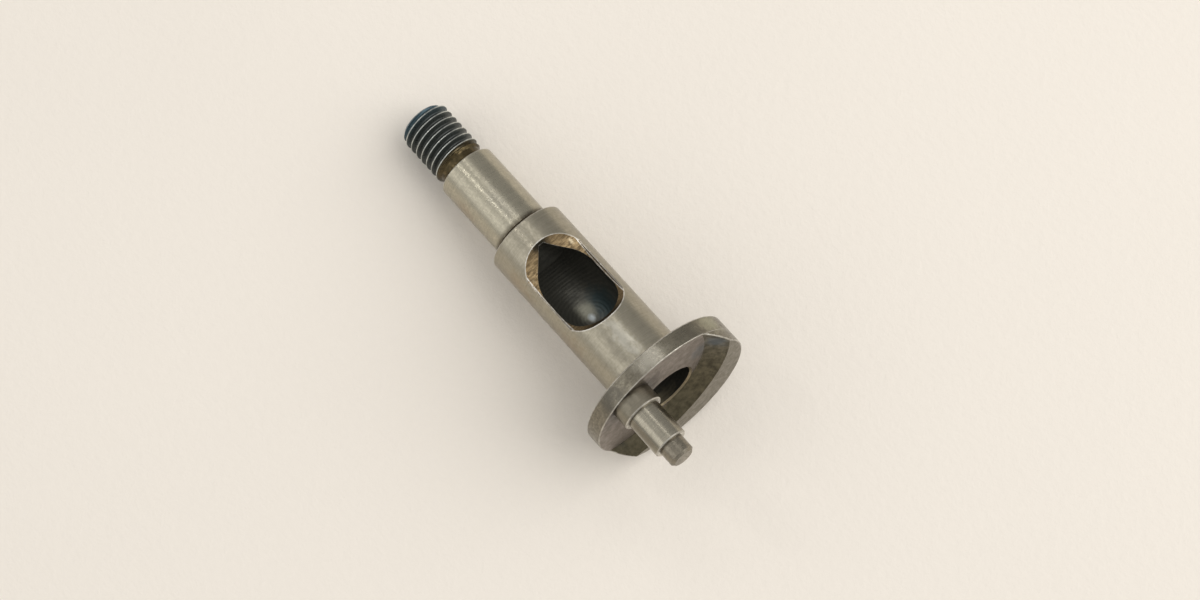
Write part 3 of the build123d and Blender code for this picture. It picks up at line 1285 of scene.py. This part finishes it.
@dataclass(frozen=True)
class TurnedBody:
    """The shaft without its thread: a copy of the solid with exact normals and its finishes."""

    place: ShaftFrame
    sizes: ShaftSizes = SIZES
    name: str = "crankshaft_body"
    weld: float = 1e-6  # metres
    seam: float = 0.005  # how far in front of the front journal's face the copy is cut
    closeness: float = 0.012  # how far off its surface a corner of the solid's mesh may be
    likeness: float = 0.97  # the least cosine between a face and its surface

    def surfaces(self) -> list[Surface]:
        """Lists the surfaces that the shaft was cut with, from front to rear.

        Returns:
            The surfaces, the broken edges last.
        """
        z, brk = self.sizes, self.sizes.edge_break
        wall = 1.0 / math.tan(math.radians(z.recess_slope))
        point = math.tan(math.radians(z.drill_point / 2))
        tip = z.bore_end - z.bore_radius / point
        flank = z.main_start - z.undercut_width
        slant = (flank, flank + z.undercut_depth)
        recess = (z.web_floor, z.land)
        mouth = (z.web_floor - z.mouth_chamfer, z.web_floor)
        window = (z.bore_end, -z.rear_land)
        half = z.bore_radius + z.window_overcut
        root = z.front_radius - z.undercut_depth
        chamfer = (z.stub_end - z.stub_chamfer, z.stub_end)

        def flat(region: Region, at: float, inward: bool = False) -> Surface:
            """A face square to the axis."""
            return Surface(region, Form.FLAT, at, inward=inward)

        def cylinder(region: Region, radius: float, *span: float, **more: object) -> Surface:
            """A turned or bored wall between two stations."""
            return Surface(region, Form.ROUND, radius, span, **more)

        def front_edge(radius: float, start: float) -> Surface:
            """The broken edge at the front of a step round the shaft's axis."""
            return Surface(Region.EDGE, Form.CONE, radius - brk, (start, start + brk), slope=1.0)

        def rear_edge(radius: float, end: float) -> Surface:
            """The broken edge at the rear of a step round the crankpin's axis."""
            return Surface(Region.EDGE, Form.CONE, radius, (end - brk, end), Centre.PIN, -1.0)

        return [
            flat(Region.FRONT, z.front_start, True),
            cylinder(Region.FRONT, z.front_radius, z.front_start, flank),
            Surface(Region.UNDERCUT, Form.CONE, z.front_radius, slant, slope=-1.0),
            cylinder(Region.UNDERCUT, root, flank, z.main_start),
            flat(Region.MAIN, z.main_start, True),
            cylinder(Region.MAIN, z.main_radius, z.main_start, 0.0),
            Surface(Region.WINDOW, Form.CUTTER, z.cutter_radius, window, inward=True),
            Surface(Region.WINDOW, Form.SIDE, half, window, inward=True),
            Surface(Region.OPENING, Form.OPENING, 0.0, (OPENING.tip, OPENING.rear), inward=True),
            flat(Region.OPENING, OPENING.tip),
            cylinder(Region.BORE, z.bore_radius, z.bore_end, z.web_floor, inward=True),
            Surface(Region.BORE, Form.CONE, 0.0, (tip, z.bore_end), slope=point, inward=True),
            Surface(Region.MOUTH, Form.CONE, z.bore_radius, mouth, slope=1.0, inward=True),
            flat(Region.WEB_FRONT, 0.0, True),
            cylinder(Region.RIM, z.web_radius, 0.0, z.land),
            flat(Region.LAND, z.land),
            Surface(Region.WALL, Form.CONE, z.recess_radius, recess, Centre.PIN, wall, True),
            flat(Region.FLOOR, z.web_floor),
            cylinder(Region.BOSS, z.boss_radius, z.web_floor, z.boss_end, centre=Centre.PIN),
            flat(Region.BOSS, z.boss_end),
            cylinder(Region.PIN, z.pin_radius, z.boss_end, z.pin_end, centre=Centre.PIN),
            flat(Region.PIN, z.pin_end),
            cylinder(Region.STUB, z.stub_radius, z.pin_end, z.stub_end, centre=Centre.PIN),
            flat(Region.STUB, z.stub_end),
            Surface(Region.STUB, Form.CONE, z.stub_radius, chamfer, Centre.PIN, -1.0),
            front_edge(z.main_radius, z.main_start),
            front_edge(z.front_radius, z.front_start),
            front_edge(z.web_radius, 0.0),
            rear_edge(z.boss_radius, z.boss_end),
            rear_edge(z.pin_radius, z.pin_end),
        ]

    def copied(self, node: bpy.types.Object) -> bpy.types.Mesh:
        """Copies the solid's mesh, welds it, takes off the thread and relief, and closes it.

        Args:
            node: The solid's object.

        Returns:
            A closed mesh in the row frame.
        """
        mesh = bpy.data.meshes.new(self.name)
        work = bmesh.new()
        work.from_mesh(node.data)
        bmesh.ops.remove_doubles(work, verts=work.verts, dist=self.weld)
        bmesh.ops.dissolve_degenerate(work, edges=work.edges, dist=self.weld / 10.0)
        work.to_mesh(mesh)
        centres = np.zeros(len(mesh.polygons) * 3)
        mesh.polygons.foreach_get("center", centres)
        station = self.place.inward(centres.reshape(-1, 3))[:, 2]
        work.faces.ensure_lookup_table()
        gone = [work.faces[i] for i in np.flatnonzero(station < self.sizes.front_start - self.seam)]
        bmesh.ops.delete(work, geom=gone, context="FACES")
        rim = [edge for edge in work.edges if edge.is_boundary]
        bmesh.ops.holes_fill(work, edges=rim, sides=0)
        bmesh.ops.triangulate(work, faces=[face for face in work.faces if len(face.verts) > 4])
        work.to_mesh(mesh)
        work.free()
        for item in list(mesh.attributes):
            if item.name == "custom_normal":
                mesh.attributes.remove(item)
        return mesh

    def opened(self, mesh: bpy.types.Mesh) -> bpy.types.Mesh:
        """Cuts the steep-walled opening through the window's floor.

        Args:
            mesh: The closed mesh, in the row frame.

        Returns:
            A new closed mesh.
        """
        whole = placed("uncut_body", mesh)
        tool = OPENING.cutter(self.place)
        cut = whole.modifiers.new("opening", "BOOLEAN")
        cut.operation, cut.solver, cut.object = "DIFFERENCE", "EXACT", tool
        seen = whole.evaluated_get(bpy.context.evaluated_depsgraph_get())
        made = bpy.data.meshes.new_from_object(seen)
        made.name = self.name
        bpy.data.objects.remove(whole)
        bpy.data.objects.remove(tool)
        work = bmesh.new()
        work.from_mesh(made)
        bmesh.ops.remove_doubles(work, verts=work.verts, dist=self.weld)
        bmesh.ops.dissolve_degenerate(work, edges=work.edges, dist=self.weld)
        bmesh.ops.triangulate(work, faces=[face for face in work.faces if len(face.verts) > 4])
        log.info("open edges after the cut: %d", sum(not edge.is_manifold for edge in work.edges))
        work.to_mesh(made)
        work.free()
        return made

    def dress(self, mesh: bpy.types.Mesh) -> dict[str, int]:
        """Gives each face its region, and each corner its surface's exact normal.

        A face belongs to a surface that all its corners lie on. A rounded edge between two
        surfaces takes their normals where it meets them, and the mean of its own faces
        between.

        Args:
            mesh: The closed mesh, in the row frame.

        Returns:
            How many faces each region has.
        """
        count, loops = len(mesh.vertices), len(mesh.loops)
        places, corners = np.zeros(count * 3), np.zeros(loops, dtype=int)
        mesh.vertices.foreach_get("co", places)
        mesh.loops.foreach_get("vertex_index", corners)
        starts = np.zeros(len(mesh.polygons), dtype=int)
        normals = np.zeros(len(mesh.polygons) * 3)
        areas = np.zeros(len(mesh.polygons))
        mesh.polygons.foreach_get("loop_start", starts)
        mesh.polygons.foreach_get("normal", normals)
        mesh.polygons.foreach_get("area", areas)
        points = self.place.inward(places.reshape(-1, 3))
        facing = normals.reshape(-1, 3) @ self.place.axes.T
        owner = np.searchsorted(starts, np.arange(loops), side="right") - 1
        middle = np.add.reduceat(points[corners], starts, axis=0)
        middle /= np.bincount(owner)[:, None]
        region = np.full(len(starts), -1)
        exact = np.zeros((loops, 3))
        for surface in self.surfaces():
            on = np.abs(surface.miss(points)) < self.closeness
            whole = np.logical_and.reduceat(on[corners], starts)
            low, high = surface.span
            within = (middle[:, 2] > low - 0.01) & (middle[:, 2] < high + 0.01)
            wanted = surface.facing(middle)
            along = np.einsum("ij,ij->i", wanted, facing) > self.likeness
            mine = whole & within & along & (region < 0)
            region[mine] = surface.region
            inside = mine[owner]
            exact[inside] = surface.facing(points[corners[inside]])
        told = region[owner] >= 0
        sums, means = np.zeros((count, 3)), np.zeros((count, 3))
        np.add.at(sums, corners[told], exact[told])
        weight = np.sqrt(areas)[owner]
        np.add.at(means, corners[~told], (facing[owner] * weight[:, None])[~told])
        loose = corners[~told]
        met = np.linalg.norm(sums[loose], axis=1) > 0.5
        exact[~told] = np.where(met[:, None], sums[loose], means[loose])
        region[region < 0] = self.rounded(middle[region < 0])
        exact /= np.maximum(np.linalg.norm(exact, axis=1), TINY)[:, None]
        mesh.polygons.foreach_set("material_index", region.astype(np.int32))
        mesh.polygons.foreach_set("use_smooth", np.ones(len(starts), dtype=bool))
        mesh.normals_split_custom_set((exact @ self.place.axes).tolist())
        mesh.update()
        return {r.name.lower(): int((region == r).sum()) for r in Region}

    def rounded(self, middle: np.ndarray) -> np.ndarray:
        """Tells which rounded faces are wide fillets, which keep their neighbour's finish.

        Args:
            middle: The faces' middles in the shaft's frame.

        Returns:
            Each face's region.
        """
        z = self.sizes
        made = np.full(len(middle), int(Region.EDGE))
        radius = np.linalg.norm(middle[:, :2], axis=1)
        round_pin = np.linalg.norm(middle[:, :2] - np.array(z.pin_centre[:2]), axis=1)
        station = middle[:, 2]
        slack, foot_height, foot_reach, rim_margin = 0.02, 0.25, 0.6, 0.15
        root = (station < slack / 4) & (station > -z.web_fillet - slack)
        root &= (radius > z.main_radius - slack) & (radius < z.main_radius + z.web_fillet + slack)
        made[root] = Region.MAIN
        foot = (station < z.web_floor + foot_height) & (station > z.web_floor - slack / 2)
        foot &= (round_pin > z.recess_radius - foot_reach) & (radius < z.web_radius - rim_margin)
        made[foot] = Region.WALL
        return made

    def build(self, node: bpy.types.Object, shop: Workshop) -> bpy.types.Object:
        """Makes the body and gives it its finishes.

        Args:
            node: The solid's object.
            shop: The shared effects.

        Returns:
            The body's object.
        """
        mesh = self.opened(self.copied(node))
        for region in Region:
            mesh.materials.append(FINISHES[region].build(shop))
        shares = self.dress(mesh)
        log.info("body faces by region: %s", shares)
        return placed(self.name, mesh)


# ---------------------------------------------------------------------------
# The flywheel thread
# ---------------------------------------------------------------------------


@dataclass(frozen=True)
class FlywheelThread:
    """The thread, its chamfered tip and its relief, carried round the axis as one skin."""

    pitch: float = 0.907
    depth: float = 0.53
    crest: float = 0.09
    root: float = 0.14
    phase: float = -40.08
    phase_angle: float = -2.0
    steps: int = 144
    reach_in: float = 0.06
    inset: float = 0.004
    flank_share: float = 0.86
    crest_rise: float = 0.006
    fade_from: float = -0.25
    fade_length: float = 0.55
    sharp_angle: float = 32.0
    sizes: ShaftSizes = SIZES
    name: str = "flywheel_thread"

    def section(self) -> tuple[np.ndarray, np.ndarray]:
        """One pitch of the section, from the middle of a crest to the next.

        Along the pitch, the depth is nothing on the crest, rises evenly down the flank, eases
        into the root as a cosine, and comes back in the same way.

        Returns:
            Places along the pitch and depths below the crest, in millimetres.
        """
        flank = (self.pitch - self.crest) / 2 - self.root
        share = np.linspace(0.0, 1.0, 5)
        down = self.crest / 2 + flank * share
        sink = self.depth * self.flank_share * share
        bend = np.linspace(0.0, 1.0, 4)[1:]
        low = self.crest / 2 + flank + self.root * bend
        eased = (1.0 - self.flank_share) * np.sin(bend * math.pi / 2)
        lower = self.depth * (self.flank_share + eased)
        half = np.concatenate([[0.0], down, low])
        deep = np.concatenate([[-self.crest_rise], sink, lower])
        deep[1] = 0.0
        return np.concatenate([half, self.pitch - half[-2::-1]]), np.concatenate([deep, deep[-2::-1]])

    def skin(self) -> tuple[np.ndarray, np.ndarray]:
        """The thread's skin as a grid of turns round the axis by places along the pitch.

        Station is the start, plus the pitch for each turn, plus the place along the pitch,
        kept between the tip and the shoulder. Radius is the crest's less the depth, which
        fades into the relief, and never more than the envelope of chamfer, crest and relief.

        Returns:
            Points in the shaft's frame and the four corners of each face.
        """
        z = self.sizes
        along, deep = self.section()
        turns = math.ceil((z.front_start + self.reach_in - z.thread_tip) / self.pitch) + 2
        angle = np.arange(turns * self.steps + 1) * (math.tau / self.steps)
        start = self.phase - self.pitch * 2 - self.pitch * math.radians(self.phase_angle) / math.tau
        station = start + self.pitch * angle[:, None] / math.tau + along[None, :]
        end = z.front_start + self.reach_in
        kept = np.clip(station, z.thread_tip + self.inset, end)
        chamfer = z.thread_radius - z.thread_lead_in + (kept - z.thread_tip)
        runout = z.thread_radius - (kept - z.thread_end)
        envelope = np.minimum(np.minimum(z.thread_radius, chamfer), np.maximum(runout, z.relief_radius))
        fade = np.clip((kept - z.thread_end - self.fade_from) / self.fade_length, 0.0, 1.0)
        fade = 1.0 - fade * fade * (3.0 - 2.0 * fade)
        nick = 0.006 * np.sin(7.0 * angle[:, None] + 1.3) * np.sin(2.3 * angle[:, None])
        cut = z.thread_radius - np.abs(nick) - deep[None, :] * fade
        radius = np.minimum(envelope, cut)
        across, aside = np.cos(angle)[:, None], np.sin(angle)[:, None]
        points = np.stack([radius * across, radius * aside, kept], axis=-1)
        rows, columns = station.shape
        corner = np.arange(rows * columns).reshape(rows, columns)
        faces = np.stack([corner[:-1, :-1], corner[1:, :-1], corner[1:, 1:], corner[:-1, 1:]], axis=-1)
        spread = station[:-1, :-1], station[1:, 1:]
        live = (spread[1] > z.thread_tip + self.inset) & (spread[0] < end)
        return points.reshape(-1, 3), faces[live]

    def build(self, place: ShaftFrame, shop: Workshop) -> bpy.types.Object:
        """Makes the thread's mesh, welds turn to turn, and closes both ends.

        Args:
            place: The shaft's frame.
            shop: The shared effects.

        Returns:
            The thread's object.
        """
        points, faces = self.skin()
        mesh = bpy.data.meshes.new(self.name)
        mesh.from_pydata(place.outward(points).tolist(), [], faces.tolist())
        work = bmesh.new()
        work.from_mesh(mesh)
        bmesh.ops.remove_doubles(work, verts=work.verts, dist=2e-6)
        bmesh.ops.dissolve_degenerate(work, edges=work.edges, dist=1e-6)
        loose = [v for v in work.verts if not v.link_faces]
        bmesh.ops.delete(work, geom=loose, context="VERTS")
        rim = [edge for edge in work.edges if edge.is_boundary]
        bmesh.ops.holes_fill(work, edges=rim, sides=0)
        bmesh.ops.recalc_face_normals(work, faces=work.faces)
        work.to_mesh(mesh)
        work.free()
        mesh.materials.append(BlackOxide().build(shop))
        mesh.shade_smooth()
        mesh.set_sharp_from_angle(angle=math.radians(self.sharp_angle))
        return placed(self.name, mesh)


# ---------------------------------------------------------------------------
# The studio
# ---------------------------------------------------------------------------


@dataclass(frozen=True)
class Lamp:
    """A soft rectangular lamp that points at the shaft."""

    name: str
    place: Point
    size: tuple[float, float]
    power: float
    turn: float = 0.0
    colour: Colour = (1.0, 0.985, 0.96)

    def build(self, target: Vector) -> None:
        """Makes the lamp.

        Args:
            target: The point that it faces.
        """
        data = bpy.data.lights.new(self.name, "AREA")
        data.shape = "RECTANGLE"
        data.size, data.size_y = self.size
        data.energy = self.power
        data.color = self.colour
        away = Vector(self.place) - target
        look = away.to_track_quat("Z", "Y").to_matrix().to_4x4()
        turned = Matrix.Rotation(math.radians(self.turn), 4, "Z")
        placed(self.name, data).matrix_world = Matrix.Translation(self.place) @ look @ turned


@dataclass(frozen=True)
class Studio:
    """A sheet of paper, a dim room, a few soft lamps and the camera."""

    paper: Colour = (0.83, 0.775, 0.705)
    paper_range: float = 0.04
    paper_relief: float = 0.08
    paper_roughness: float = 0.9
    clouds: Grain = Grain(14.0, 3.0, 0.5)
    fibres: Grain = Grain(900.0, 4.0, 0.65)
    fibre_share: float = 0.3
    sheet_half: float = 2.5
    room: Colour = (0.61, 0.605, 0.59)
    dim_side: Colour = (0.37, 0.365, 0.355)
    dim_way: Point = (-0.467, 0.674, 0.573)
    dim_cosines: tuple[float, float] = (0.55, 0.93)
    middle: Point = (0.0, 0.0, 0.006)
    lens: float = 89.324
    eye: Point = (0.060337, -0.044612, 0.328649)
    tilt: Point = (12.6571, 0.1395, 49.7842)
    sensor: float = 36.0
    lamps: tuple[Lamp, ...] = (
        Lamp("window", (0.25, 0.42, 0.50), (0.8, 0.8), 3.9),
        Lamp("lamp_right", (-0.145, 0.065, 0.27), (0.11, 0.05), 0.035),
        Lamp("lamp_left", (-0.165, -0.075, 0.255), (0.06, 0.012), 0.026, 90.0),
        Lamp("fill", (-0.15, -0.45, 0.30), (0.5, 0.35), 0.36),
    )

    def floor(self) -> bpy.types.Object:
        """A flat sheet under the shaft, with a faint grain."""
        half = self.sheet_half
        corners = [(-half, -half, 0.0), (half, -half, 0.0), (half, half, 0.0), (-half, half, 0.0)]
        mesh = bpy.data.meshes.new("paper")
        mesh.from_pydata(corners, [], [(0, 1, 2, 3)])
        material, s, shader = new_material("paper")
        at = s.put("ShaderNodeTexCoord").outputs["Object"]
        fine = s.noise(at, self.fibres)
        clouds = s.math("MULTIPLY", s.noise(at, self.clouds), 1.0 - self.fibre_share)
        share = s.math("MULTIPLY_ADD", fine, self.fibre_share, clouds)
        light = tuple(min(1.0, c * (1.0 + self.paper_range)) for c in self.paper)
        dark = tuple(c * (1.0 - self.paper_range) for c in self.paper)
        s.feed(shader.inputs["Base Color"], s.blend(share, dark, light))
        height = s.math("MULTIPLY", fine, self.paper_relief)
        bump = s.put("ShaderNodeBump", {"Height": height, "Distance": MM})
        s.feed(shader.inputs["Normal"], bump.outputs[0])
        shader.inputs["Roughness"].default_value = self.paper_roughness
        mesh.materials.append(material)
        sheet = placed("paper", mesh)
        return sheet

    def surroundings(self) -> bpy.types.World:
        """The room's even light, dimmer towards one side.

        The dim share eases in with the cosine between a direction and the dim side's.
        """
        world = bpy.data.worlds.new("room")
        world.use_nodes = True
        s = Sketch(world.node_tree)
        way = s.put("ShaderNodeTexCoord").outputs["Generated"]
        product = s.put("ShaderNodeVectorMath", {0: way, 1: self.dim_way}, operation="DOT_PRODUCT")
        share = s.ease(product.outputs["Value"], *self.dim_cosines)
        background = world.node_tree.nodes["Background"]
        s.feed(background.inputs["Color"], s.blend(share, self.room, self.dim_side))
        return world

    def build(self) -> None:
        """Makes the sheet, the room's light, the lamps and the camera."""
        self.floor()
        scene = bpy.context.scene
        scene.world = self.surroundings()
        for lamp in self.lamps:
            lamp.build(Vector(self.middle))
        data = bpy.data.cameras.new("camera")
        data.lens, data.sensor_width = self.lens, self.sensor
        data.clip_start, data.clip_end = 0.01, 20.0
        camera = placed("camera", data)
        camera.location = self.eye
        camera.rotation_euler = Euler([math.radians(a) for a in self.tilt], "XYZ")
        scene.camera = camera
        scene.view_settings.view_transform = "Standard"


def main() -> None:
    """Builds the shaft's pieces and the studio in order."""
    logging.basicConfig(level=logging.INFO, format="%(name)s: %(message)s")
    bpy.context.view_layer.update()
    place = ShaftFrame(SIZES)
    shop = Workshop(place)
    body = TurnedBody(place).build(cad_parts["crankshaft"], shop)
    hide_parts("crankshaft")
    thread = FlywheelThread().build(place, shop)
    for piece in (body, thread):
        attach(piece, "root")
        log.info("%s: %d faces", piece.name, len(piece.data.polygons))
    Studio().build()
    log.info("studio: paper, room, lamps and camera")


if __name__ == "__main__":
    main()
